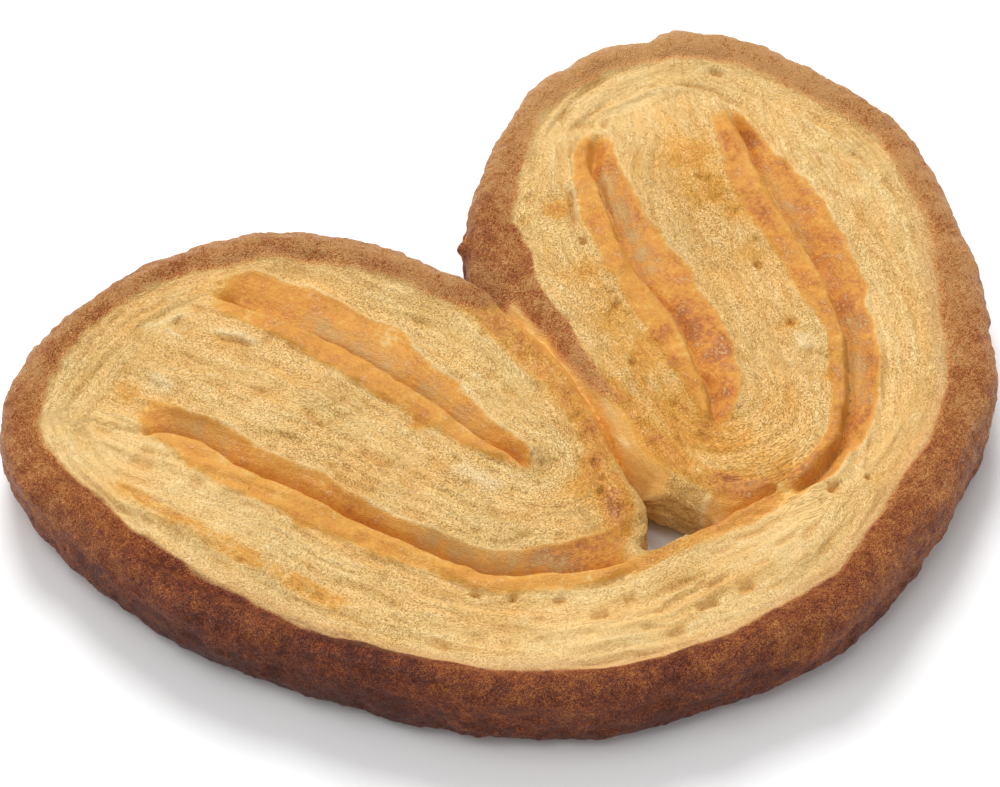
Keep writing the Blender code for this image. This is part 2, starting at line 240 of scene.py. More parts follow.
# Toasted spots: x, y, radius, how strongly
SPOTS = [
    (-42.6, 29, 1.8, 0.35), (-41.5, 24, 2.2, 0.3), (-23, 33.6, 2.8, 0.4), (-36.9, 0.5, 1.3, 0.4),
    (-17.6, 4.5, 1.4, 0.4), (-12.8, 11, 1.6, 0.3), (16, 21.5, 1.9, 0.45), (13, 11, 3, 0.3),
    (11.5, 4, 3.6, 0.3), (10, -3, 3.5, 0.35), (9, -11, 3, 0.3), (8, -17, 3.5, 0.35),
    (11, -17, 3, 0.35), (6, -25, 2.5, 0.5), (12, -25, 4, 0.25), (34.5, 18.5, 3.6, 0.4),
    (33, 13, 3, 0.35), (34.5, 8, 2.5, 0.3), (31, 2, 2.5, 0.25), (14, -2, 1.7, 0.6),
    (13.3, -6, 1.6, 0.6), (22.5, 14, 1.7, 0.4), (19.2, -3, 1.9, 0.5), (18.3, -8, 1.6, 0.5),
    (16.5, -12, 1.9, 0.4), (27, -18.8, 1.4, 0.4), (20, -27, 1.6, 0.35), (13, -29, 1.9, 0.4),
    (-7.5, -15.5, 3.6, 0.3), (-6.5, -19.5, 1.6, 0.5), (28, -9, 1.4, 0.3),
]
# Pale crests with a painted highlight, and whitish dough: a line, half its width, and how strongly
PALE_AND_HIGHLIT = [
    ([(-36, 35.5), (-32, 35), (-29.5, 33.5)], 0.5, 0.6),
    ([(-33.5, 34), (-32.3, 31.5)], 0.5, 0.7),
    ([(-29.2, 31), (-26.7, 27.8), (-25.6, 24.8)], 0.5, 0.7),
    ([(-39, 29), (-38, 25.5)], 1.0, 0.6),
    ([(-20.5, 30), (-19, 27.5)], 1.2, 0.4),
    ([(-18, -3), (-16.8, -7), (-15, -10)], 1.2, 0.6),
    ([(40, 20.5), (38.5, 17.5), (37, 15.3)], 0.5, 0.8),
    ([(19.9, 24.5), (18.2, 21), (16.8, 18)], 0.45, 0.7),
    ([(13.3, -11.5), (12.3, -15)], 0.4, 0.8),
    ([(28.3, -10.8), (26.8, -13.5)], 0.7, 0.8),
    ([(36.6, -2.5), (36, -5), (35.5, -8)], 0.6, 0.7),
    ([(17.6, 3), (17, -1), (16.3, -4)], 0.4, 0.5),
    ([(1, -9), (1.4, -12.5)], 0.3, 0.6),
    ([(24, 29.9), (27.5, 29.4), (29.5, 28.9), (32, 30.8), (36, 31), (39.5, 29.6), (42.3, 26.5)],
     0.5, 0.3),
    ([(-47.8, 5.5), (-45, 0.5)], 0.5, 0.4),
]
# Where the crevices' floors show olive and waxy: a line, half its width, and how strongly
WAXY = [
    ([(-43, 22), (-39.5, 19.5), (-37.5, 14)], 1.3, 0.6),
    ([(-27.5, -8), (-24.3, -15), (-19.5, -20), (-14, -23.3)], 1.3, 0.7),
    ([(-19.5, 28.5), (-16.5, 23), (-14.5, 16), (-12.6, 6), (-11.9, -3)], 1.2, 0.75),
    ([(25, 24), (23.4, 20), (21.7, 14.5), (20.4, 10), (19.4, 6)], 1.1, 0.9),
    ([(41.5, 13.5), (40.4, 9), (39.3, 4.5), (38.2, 1), (37, -2.5)], 0.8, 0.8),
    ([(35, -11), (32.5, -16), (29, -20.5), (25, -24.5)], 1.4, 0.6),
]
# How the crust runs on down the crease's right side: x and y of its edge, and its reach from there
CRUST_TAIL = [(17, 31, 8), (14, 28, 8), (11.2, 23.5, 8), (9.5, 18, 7), (7.8, 14, 4.8),
              (6.7, 10, 3.8), (6, 6, 3.4), (5.3, 2, 3), (4.8, -2, 2.6), (4.4, -6, 2.2),
              (4.2, -10, 1.6)]
# How dark the crust is baked at places, from light (0) to dark brown (1)
BAKED = [((-30, -36), 0.66), ((-15, -43), 0.72), ((-45, -20), 0.90), ((-54, -4), 0.86),
         ((-58, 8), 0.70), ((-60, 20), 0.50), ((-57, 30), 0.34), ((-50, 40), 0.19),
         ((-34, 45), 0.21), ((-18, 42), 0.18), ((-5, 31), 0.06), ((-2.5, 25), 0.02), ((0, 20), 0.0),
         ((4.5, 24), 0.50), ((6, 19.5), 0.42),
         ((4, 11), 0.34), ((4, 0), 0.12), ((10, 29), 0.26), ((15, 34), 0.08), ((22, 39), -0.04),
         ((34, 42), -0.12), ((46, 38), -0.14), ((55, 29), 0.0), ((59, 15), 0.05), ((57, -3), 0.10),
         ((52, -14), 0.16), ((46, -25), 0.22), ((38, -33), 0.34), ((28, -40), 0.46),
         ((15, -45), 0.56), ((4, -47), 0.64)]
# Where the crust reaches farther in over the crumb: the place, how far from there, and how much
CRUST_WIDER = ((-53, 4), 26, 2.0)
# Where the crust is wrinkled, and how far from there
WRINKLED = ((9, 28), 10)
# Lumps of the crust: where, radius, and how far they stand out
LUMPS = [((4.1, 24.4, 8.6), 1.0, 1.4), ((36, 41, 9), 4.5, 0.6), ((43.2, 38.5, 9), 2.0, -0.6),
         ((47, 37.5, 9), 2.5, 0.5), ((55, 29.5, 9), 2.5, 0.4), ((-43, 43, 8), 3.5, 0.3),
         ((-13.5, 40, 8), 3.0, 0.5), ((22, 39.3, 9), 2.5, -0.4), ((59.5, 12, 8), 3.5, 0.4),
         ((58.5, 2, 7), 2.0, -0.5), ((-24, -41, 5), 5.0, 0.4), ((12, -46, 5), 4.0, 0.4)]


# ---------------------------------------------------------------- number helpers
def smooth_line(points, closed=False, corners=()):
    """Catmull-Rom line through the points, which may turn sharply at the corners."""
    points = np.asarray(points, float)
    count = len(points)
    spans = count if closed else count - 1
    line = []
    for i in range(spans):
        a, b = points[i], points[(i + 1) % count]
        before = points[i - 1] if closed or i > 0 else 2 * a - b
        after = points[(i + 2) % count] if closed or i + 2 < count else 2 * b - a
        slope_a = (b - before) / 2 if i not in corners else b - a
        slope_b = (after - a) / 2 if (i + 1) % count not in corners else b - a
        for t in np.arange(SPAN_STEPS) / SPAN_STEPS:
            line.append(a * (2 * t**3 - 3 * t**2 + 1) + slope_a * (t**3 - 2 * t**2 + t)
                        + b * (3 * t**2 - 2 * t**3) + slope_b * (t**3 - t**2))
    if not closed:
        line.append(points[-1])
    return np.array(line)


def wall_line():
    """The closed line of the side wall."""
    return smooth_line(WALL, closed=True, corners=(NOTCH,))


def nearest(line, xy, closed=False):
    """Distance from each point to the line, the millimetres along it, and on which side."""
    ends = np.roll(line, -1, axis=0) if closed else line[1:]
    starts = line if closed else line[:-1]
    runs = ends - starts
    lengths = np.linalg.norm(runs, axis=1)
    reached = np.concatenate([[0.0], np.cumsum(lengths)])
    best = np.full(len(xy), np.inf)
    along = np.zeros(len(xy))
    left = np.zeros(len(xy), bool)
    for start, run, length, at in zip(starts, runs, lengths, reached):
        dx = xy[:, 0] - start[0]
        dy = xy[:, 1] - start[1]
        part = np.clip((dx * run[0] + dy * run[1]) / length**2, 0, 1)
        gap = (dx - part * run[0])**2 + (dy - part * run[1])**2
        closer = np.nonzero(gap < best)[0]
        best[closer] = gap[closer]
        along[closer] = at + part[closer] * length
        left[closer] = run[0] * dy[closer] > run[1] * dx[closer]
    return np.sqrt(best), along, left


def reached_along(line):
    """The millimetres along a line at each of its points."""
    runs = np.linalg.norm(np.diff(line[:, :2], axis=0), axis=1)
    return np.concatenate([[0.0], np.cumsum(runs)])


def line_length(line):
    """The length of a line, in millimetres."""
    return reached_along(line)[-1]


def ease(value, low, high):
    """0 at low, 1 at high, smooth between."""
    t = np.clip((value - low) / (high - low), 0, 1)
    return t * t * (3 - 2 * t)


def uneven(places, size):
    """Smooth unevenness, about 1 high and of the given size across, from six crossed waves."""
    total = np.zeros(len(places))
    for i in range(6):
        direction = np.array([np.cos(2.4 * i), np.sin(2.4 * i), 0.9 * np.sin(1.7 * i)])
        length = size * (0.8 + 0.12 * i)
        total += np.sin(places @ direction[:places.shape[1]] * 2 * np.pi / length + 1.3 * i)
    return total / np.sqrt(3)


def grain(places, size, seed):
    """Seeded random relief from 0 to 1, in cells of the given size, in two or three dimensions."""
    scaled = np.asarray(places) / size
    dims = scaled.shape[1]
    edge = 256 if dims == 2 else 64
    grid = np.random.default_rng(seed).random((edge,) * dims)
    low = np.floor(scaled).astype(int)
    part = scaled - low
    part = part * part * (3 - 2 * part)
    low %= edge
    high = (low + 1) % edge
    total = np.zeros(len(scaled))
    for corner in range(2**dims):
        picks = [(corner >> axis) & 1 for axis in range(dims)]
        weight = np.ones(len(scaled))
        for axis, pick in enumerate(picks):
            weight *= part[:, axis] if pick else 1 - part[:, axis]
        cells = tuple((high if pick else low)[:, axis] for axis, pick in enumerate(picks))
        total += weight * grid[cells]
    return total


def blended(table, xy):
    """A value stated at places, blended between them by closeness."""
    places = np.array([place for place, _ in table], float)
    values = np.array([value for _, value in table])
    total = np.zeros(len(xy))
    power = np.zeros(len(xy))
    for place, value in zip(places, values):
        weight = 1 / (np.linalg.norm(xy - place, axis=1) + 4.0)**3
        total += weight * value
        power += weight
    return total / power


def band(points, half, xy, end=0.12, sharp=2):
    """1 along a line, falling off to its sides and tapering to nothing at its ends."""
    line = smooth_line(points)
    reach = 3 * half
    low, high = line.min(axis=0) - reach, line.max(axis=0) + reach
    close = np.nonzero(((xy > low) & (xy < high)).all(axis=1))[0]
    gap, along, _ = nearest(line, xy[close])
    along = along / line_length(line)
    result = np.zeros(len(xy))
    result[close] = np.exp(-(gap / half)**sharp) * ease(along, 0, end) * ease(1 - along, 0, end)
    return result


def fold(points, depth, rise, xy):
    """A fold's relief, and how much each point is on its lip, its wall, its crest and its floor."""
    line = smooth_line(points)
    low, high = line[:, :2].min(axis=0) - FOLD_MARGIN, line[:, :2].max(axis=0) + FOLD_MARGIN
    close = np.nonzero(((xy > low) & (xy < high)).all(axis=1))[0]
    gap, along, far = nearest(line[:, :2], xy[close])
    reached = reached_along(line)
    ragged = 1 + 0.3 * (grain(xy[close], 3.5, SEED_RAGGED) - 0.5)
    lip = np.interp(along, reached, line[:, 2])
    wall = np.interp(along, reached, line[:, 3]) * ragged
    share = along / reached[-1]
    fade = ease(share, 0, 0.08) * ease(1 - share, 0, 0.06)
    roll = np.where(far, 0, np.sqrt((1 - (2 * gap / lip - 1)**2).clip(0)))
    sunk = np.where(far, (1 - gap / wall).clip(0)**1.5, np.exp(-(gap / 0.55)**2))
    edge = np.where(far, 0, np.exp(-((gap - lip) / 0.35)**2))
    crest = np.where(far, np.exp(-((gap - wall) / 0.4)**2), 0)
    found = np.zeros((5, len(xy)))
    found[0, close] = fade * (rise * roll - depth * sunk - 0.1 * edge + 0.2 * crest)
    under_crest = 1 - 0.35 * ease(-gap / lip, -0.6, -0.1)
    found[1, close] = fade * np.where(far, 0, ease(lip - gap, -0.3, 0.7) * under_crest)
    found[2, close] = fade * np.where(far, ease(wall - gap, -0.5, 0.8), 0)
    found[3, close] = fade * crest
    found[4, close] = fade * np.exp(-(gap / 0.5)**2)
    return found


def warped(xy):
    """The plan position, moved a little so that every line wavers."""
    moved = xy.copy()
    for number, (size, amount) in enumerate(WARP):
        for axis in range(2):
            seed = SEED_WARP + 2 * number + axis
            moved[:, axis] += amount * (grain(xy, size, seed) - 0.5)
    return moved


# ---------------------------------------------------------------- base mesh
def slab():
    """The outline with the gap in it, filled and extruded, with rounded shoulders."""
    curve = bpy.data.curves.new("slab", "CURVE")
    curve.dimensions = "2D"
    curve.fill_mode = "BOTH"
    curve.extrude = (THICKNESS / 2 - SHOULDER) * MM
    curve.bevel_depth = SHOULDER * MM
    curve.bevel_resolution = 7
    curve.offset = -SHOULDER * MM
    for points, corners in ((WALL, (NOTCH,)), (GAP, ())):
        line = smooth_line(points, closed=True, corners=corners)
        spline = curve.splines.new("POLY")
        spline.points.add(len(line) - 1)
        for point, (x, y) in zip(spline.points, line):
            point.co = (x * MM, y * MM, 0, 1)
        spline.use_cyclic_u = True
    return bpy.data.objects.new("slab", curve)


def finished_mesh(thing):
    """A new mesh of the object as its modifiers or its curve's settings leave it."""
    bpy.context.view_layer.update()
    graph = bpy.context.evaluated_depsgraph_get()
    return bpy.data.meshes.new_from_object(thing.evaluated_get(graph))


def settle(piece):
    """Replace the object's data by the mesh that its modifiers leave."""
    mesh = finished_mesh(piece)
    piece.modifiers.clear()
    piece.data = mesh


def base_piece():
    """Even fine quads all over the slab."""
    outline = slab()
    bpy.context.scene.collection.objects.link(outline)
    mesh = finished_mesh(outline)
    bpy.data.objects.remove(outline)
    piece = bpy.data.objects.new(PIECE, mesh)
    bpy.context.scene.collection.objects.link(piece)
    remesh = piece.modifiers.new("Even", "REMESH")
    remesh.mode = "VOXEL"
    remesh.voxel_size = VOXEL * MM
    settle(piece)
    return piece


def thin_out(piece):
    """Fewer triangles where the surface is even."""
    faces = 2 * len(piece.data.polygons)
    if faces > FACES:
        modifier = piece.modifiers.new("Fewer", "DECIMATE")
        modifier.ratio = FACES / faces
        settle(piece)


def read_vectors(mesh, key):
    """The mesh's vertex positions or normals."""
    values = np.empty(len(mesh.vertices) * 3, np.float32)
    mesh.vertices.foreach_get(key, values)
    return values.reshape(-1, 3).astype(float)


def store(mesh, name, values):
    """Keep three numbers for each vertex under a name, for the material."""
    attribute = mesh.attributes.new(name, "FLOAT_VECTOR", "POINT")
    attribute.data.foreach_set("vector", values.astype(np.float32).ravel())


# ---------------------------------------------------------------- how the layers run
def beyond_end(line):
    """The line with a straight stretch added at its end."""
    run = line[-1] - line[-2]
    return np.vstack([line, line[-1] + run / np.linalg.norm(run) * CHART_REACH])


def beyond_start(line):
    """The line with a straight stretch added at its start."""
    return beyond_end(line[::-1])[::-1]


def past_start(along):
    """How far a place lies beyond the start of a line that was carried on there."""
    return (CHART_REACH - along).clip(0)


def round_chart(line, xy, depth):
    """Places around a closed line: across it, and along it wound on a circle of its length."""
    gap, along, _ = nearest(line, xy, closed=True)
    length = line_length(np.vstack([line, line[:1]]))
    radius = length / (2 * np.pi)
    turn = along / radius
    return gap, np.stack([gap - depth, radius * np.cos(turn), radius * np.sin(turn)], axis=1)


def open_chart(points, xy, depth, order):
    """Places beside an open line: across it and along it, farther off beyond its ends."""
    line = smooth_line(points)[:, :2]
    gap, along, left = nearest(beyond_start(beyond_end(line)), xy)
    past_end = (along - CHART_REACH - line_length(line)).clip(0)
    across = np.where(left, gap - depth, depth - gap)
    place = np.stack([across, along, np.full(len(xy), CHART_APART * order)], axis=1)
    return gap + (OFF_START * past_start(along) + OFF_END * past_end), place


def hairpin_chart(points, xy, depth, order):
    """Places beside a line that the layers wind round at its end: across, and along them."""
    line = smooth_line(points)[:, :2]
    gap, along, _ = nearest(beyond_start(line), xy)
    run = line[-1] - line[-2]
    run /= np.linalg.norm(run)
    off = xy - line[-1]
    aside = np.abs(off[:, 0] * run[1] - off[:, 1] * run[0]) + TINY
    turned = along + HAIRPIN_RADIUS * np.arctan2((off @ run).clip(0), aside)
    place = np.stack([gap + depth, turned, np.full(len(xy), CHART_APART * order)], axis=1)
    return gap + OFF_START * past_start(along), place


def charts(xy, depth):
    """Three sets of places that follow the layers, and how much each counts."""
    groups = [
        [round_chart(wall_line(), xy, depth)],
        [open_chart(CREASE, xy, depth, 1), open_chart(SEAMS["left_outer"], xy, depth, 2),
         open_chart(SEAMS["right_outer"], xy, depth, 3)],
        [hairpin_chart(SEAMS["left_inner"], xy, depth, 4),
         hairpin_chart(SEAMS["right_inner"], xy, depth, 5)],
    ]
    places = []
    weights = []
    for group in groups:
        gaps = np.stack([gap for gap, _ in group])
        closest = gaps.argmin(axis=0)
        places.append(np.choose(closest[:, None], [place for _, place in group]))
        gaps = np.sort(gaps, axis=0)
        if len(group) == 1:
            clear = 1 - ease(gaps[0], *WALL_LAYERS)
        else:
            clear = ease(gaps[1] - gaps[0], 0, SEAM_BLEND)
        weights.append(clear / (gaps[0] + 0.8)**3 + 1e-9)
    weights = np.stack(weights, axis=1)
    return places, weights / weights.sum(axis=1)[:, None]


def layered(places, weights, pitch, run, seed, crisp=False):
    """Relief from -1 to 1 that runs with the layers, finest across them, or its crisp crests."""
    total = np.zeros(len(weights))
    for number, place in enumerate(places):
        value = 2 * grain(place / np.array([pitch, run, run]), 1.0, seed * 10 + number) - 1
        if crisp:
            value = 1 - 3.2 * np.abs(value).clip(0, 0.625)
        total += weights[:, number] * value
    return total / np.linalg.norm(weights, axis=1)


# ---------------------------------------------------------------- relief, and material numbers
def dress(piece):
    """Move the mesh into relief, and store for each vertex what the material reads."""
    mesh = piece.data
    points = read_vectors(mesh, "co") / MM
    normals = read_vectors(mesh, "normal")
    points[:, 2] += THICKNESS / 2
    xy = points[:, :2].copy()
    height = points[:, 2].copy()
    wavy = warped(xy)
    inside, _, _ = nearest(wall_line(), xy, closed=True)
    places, weights = charts(wavy, LAYER_LEAN * (THICKNESS - height))

    # rim, crumb, folds and crease
    rim = blended(RIM_WIDTHS, xy) + 0.7 * (grain(xy, 4.0, SEED_RIM) - 0.5)
    crumb = ease(inside, RIM_CREST, rim + 0.6)
    relief = -CRUMB_DROP * crumb
    relief += SWELL * uneven(xy, 45) * ease(inside, 3, 9) - RIM_SWELL * (1 + uneven(xy, 24)) / 2
    plump = 0.6 + 0.8 * grain(xy, 3.5, SEED_PLUMP)
    lip, wall_tint, crest, crevice, toast = np.zeros((5, len(xy)))
    for points_along, depth, rise, lip_toast, wall_toast in FOLDS.values():
        raised, on_lip, on_wall, on_crest, in_floor = fold(points_along, depth, rise, wavy)
        relief += np.where(raised > 0, raised * plump, raised)
        lip = np.maximum(lip, on_lip)
        wall_tint = np.maximum(wall_tint, on_wall)
        crest = np.maximum(crest, on_crest)
        crevice = np.maximum(crevice, in_floor)
        toast = 1 - (1 - toast) * (1 - lip_toast * on_lip) * (1 - wall_toast * on_wall)
    line, half, rise = STRIP_LIP
    relief += rise * band(line, half, wavy)
    line = smooth_line(CREASE)
    gap, along, left = nearest(line[:, :2], wavy)
    slope = np.interp(along, reached_along(line), line[:, 2])
    crease = (1 - gap / np.where(left, slope, CREASE_EDGE)).clip(0)
    relief -= np.interp(along, reached_along(line), line[:, 3]) * crease**2
    smooth = np.maximum(wall_tint, ease(crease, 0.05, 0.3))

    # layers, pores, slits and crests
    froth = blended(FROTHY, xy) * (0.5 + 0.9 * grain(wavy, 6.0, SEED_FROTH))
    froth = (froth * (1 - smooth) * (1 - 0.7 * lip)).clip(0, 1)
    detail = np.zeros(len(xy))
    for pitch, run, rise, seed, crisp in LAYERS:
        ridges = layered(places, weights, pitch, run, seed, crisp)
        detail += rise * ridges * (1.25 - 0.5 * froth)
    detail *= (1 - 0.6 * smooth) * (1 - 0.5 * lip)
    slot = ease(layered(places, weights, 0.9, 3.5, SEED_SLOT), 0.45, 0.75)
    slot = slot * (1 - smooth) * (1 - froth) * (1 - lip)
    pore = ease(layered(places, weights, 0.9, 1.5, SEED_PORE), 0.38, 0.7) * froth
    bubble = ease(layered(places, weights, 2.4, 4.5, SEED_BUBBLE), 0.40, 0.75) * froth
    detail -= SLOT_DEPTH * slot + PORE_DEPTH * pore + BUBBLE_DEPTH * bubble
    cut = FLOOR_CUT * crevice
    for line, half, depth in SLITS:
        cut = np.maximum(cut, depth * band(line, half, wavy, 0.25))
    detail -= cut
    # pale crests and whitish dough; the crests are lighter as a painted highlight
    pale_and_highlit = 0.5 * crest
    for line, half, strength in PALE_AND_HIGHLIT:
        pale_and_highlit = np.maximum(pale_and_highlit, strength * band(line, half, wavy, 0.2))
    detail += CREST_RISE * pale_and_highlit
    detail += LIP_LUMPS * lip * (grain(xy, 1.3, SEED_LIP) - 0.5)
    top = ease(height, THICKNESS - PLATEAU, THICKNESS - 0.8)
    lift = relief * ease(height, 1.5, THICKNESS) + detail * top * crumb

    # crust: grains, blisters and lumps
    side = 1 - crumb * top
    rough = grain(points, GRANULE, SEED_GRANULE) - 0.5
    rough = rough + 0.7 * (grain(points, SAND, SEED_SAND) - 0.5)
    blister = grain(points, BLISTER, SEED_BLISTER) - 0.5
    flaky = grain(points / np.array(FLAKE), 1.0, SEED_FLAKE) - 0.5
    across = 0.6 * points[:, 0] + 0.8 * points[:, 1] - 0.9 * height
    wrinkle = grain(np.stack([across / 1.1, height / 7], axis=1), 1.0, SEED_WRINKLE) - 0.5
    place, distance = WRINKLED
    wrinkled = np.exp(-((xy - place)**2).sum(axis=1) / distance**2)
    out = GRANULES * rough + BLISTERS * blister + FLAKES * flaky + WRINKLES * wrinkle * wrinkled
    out *= side * ease(height, 0.2, 2.0)
    for place, radius, stands in LUMPS:
        out += stands * np.exp(-((points - place)**2).sum(axis=1) / radius**2)

    # the side wall ripples and draws in below, and the low bottom is pressed flat
    near_wall = 1 - ease(inside, 2, 9)
    low = (1 - ease(height, 0, 0.6 * THICKNESS)) * near_wall
    ripple = RIPPLE * uneven(points, 15) * near_wall * ease(height, 0.5, 4)
    moved = points.copy()
    moved[:, 2] += lift
    radial = xy / np.linalg.norm(xy, axis=1)[:, None]
    moved[:, :2] += normals[:, :2] * ripple[:, None] - radial * (UNDERCUT * low)[:, None]
    moved += normals * out[:, None]
    moved[moved[:, 2] < FLAT_BELOW, 2] = 0
    middle = (moved.min(axis=0) + moved.max(axis=0)) / 2
    moved[:, :2] -= middle[:2]
    mesh.vertices.foreach_set("co", (moved * MM).astype(np.float32).ravel())
    mesh.update()

    # how toasted and how waxy the crumb is
    for line, half, strength in TOASTED:
        toast = 1 - (1 - toast) * (1 - strength * band(line, half, wavy, 0.08, 4))
    for x, y, radius, strength in SPOTS:
        near = np.exp(-(((wavy - (x, y))**2).sum(axis=1) / radius**2)**1.5)
        toast = 1 - (1 - toast) * (1 - strength * near)
    waxy = np.zeros(len(xy))
    for line, half, strength in WAXY:
        waxy = np.maximum(waxy, strength * band(line, half, wavy))

    # where the crust lies: on the rim and the wall, not on walls inside, and down the crease
    hollow = ease(THICKNESS - height, 1.0, 3.0) * (inside > 6)
    place, distance, extra = CRUST_WIDER
    rim = rim + extra * np.exp(-((xy - place)**2).sum(axis=1) / distance**2)
    crust = 1 - ease(inside, rim - 1.2, rim + 0.3) * ease(height, THICKNESS - 4, THICKNESS - 1)
    crust *= 1 - hollow
    line = smooth_line(CRUST_TAIL)
    gap, along, far = nearest(line[:, :2], wavy)
    reach = np.interp(along, reached_along(line), line[:, 2])
    tail = ease(reach - gap, 0, 1.2) * ease(gap, -0.2, 0.6)
    tail *= ease(height, THICKNESS - 9, THICKNESS - 6)
    tail *= ease(line_length(line) - along, 0, 8) * (~far & left)
    crust = np.maximum(crust, tail)

    # how dark the crust is, darker towards the underside; the painted shade in the openings, on
    # their amber colour; and how golden the crumb is
    # the crust is made darker towards the underside
    baked = blended(BAKED, xy) + 0.30 * (1 - ease(height, 2, THICKNESS - 0.5)) - 0.1
    # painted shade in the pores, slots, slits, cracks and bubbles
    opening_shade = np.clip(0.35 * pore + 0.6 * slot + 1.1 * cut + 0.1 * bubble, 0, 1) * crumb
    tan = (1 - ease(inside, rim + 0.2, rim + 2.2)) * (1 - 0.8 * ease(xy[:, 1], -12, 8))
    gold = blended(GOLDEN, xy) + 0.3 * layered(places, weights, 1.3, 9, SEED_GOLD_FINE)
    gold = (gold + 0.25 * layered(places, weights, 3.5, 14, SEED_GOLD_WIDE)).clip(0, 1.2)
    sharp = weights**3 / (weights**3).sum(axis=1)[:, None]
    store(mesh, "toasting", np.stack([crust, toast, waxy], axis=1))
    store(mesh, "texture", np.stack([opening_shade, froth, baked], axis=1))
    store(mesh, "accent", np.stack([pale_and_highlit, np.maximum(lip, wall_tint), tan], axis=1))
    store(mesh, "counts", np.stack([sharp[:, 0], sharp[:, 1], gold], axis=1))
    for number, place in enumerate(places):
        store(mesh, "layers_%d" % number, place)


# ---------------------------------------------------------------- material
# Colours, as linear red, green and blue
GOLDEN_CRUMB = (0.74, 0.35, 0.052)
TIGHT_CRUMB = (0.70, 0.51, 0.265)
FROTH_WALL = (0.93, 0.74, 0.38)
# painted shade in the froth's pits, on amber dough
FROTH_PIT_SHADE = (0.56, 0.26, 0.045)
# whitish dough, with a painted highlight on the crests
PALE_CREST_HIGHLIGHT = (0.93, 0.76, 0.43)
# pale granules on the toasted folds, partly painted glints
FLECK_AND_GLINT = (0.86, 0.60, 0.26)
WAXY_FLOOR = (0.58, 0.38, 0.14)
# painted shade in pores, slots, slits and cracks, amber like the dough around them
OPENING_SHADE = (0.54, 0.24, 0.04)
TAN_EDGE = (0.62, 0.34, 0.13)
CRUMB_TONES = [(0.30, (0.60, 0.31, 0.07)), (0.38, (0.74, 0.425, 0.11)),
               (0.43, (0.80, 0.49, 0.145)), (0.58, (0.82, 0.535, 0.18)),
               (0.72, (0.88, 0.65, 0.30))]
TOASTED_TONES = [(0.0, (0.76, 0.40, 0.075)), (0.3, (0.72, 0.335, 0.044)),
                 (0.6, (0.65, 0.255, 0.03)), (0.85, (0.51, 0.155, 0.022)),
                 (1.0, (0.37, 0.10, 0.02))]
CRUST_TONES = [(0.0, (0.97, 0.50, 0.18)), (0.25, (0.75, 0.27, 0.062)),
               (0.5, (0.51, 0.142, 0.037)), (0.75, (0.31, 0.070, 0.027)),
               (1.0, (0.13, 0.031, 0.017))]
# Sizes, in millimetres: across the layers and twice along them, then of the blotches and grains
STREAK_SIZE = (0.5, 3.5, 3.5)
CELL_SIZE = (0.5, 0.9, 0.9)
WIDE_BLOTCH, MIDDLING_BLOTCH, SMALL_BLOTCH = 5.5, 2.0, 0.5
GRAIN_SIZE = (0.75, 0.75, 0.75)
BUMP_DEPTH = 0.5          # of the material's own relief, in millimetres
GLOSS = 0.28              # the shader's specular level


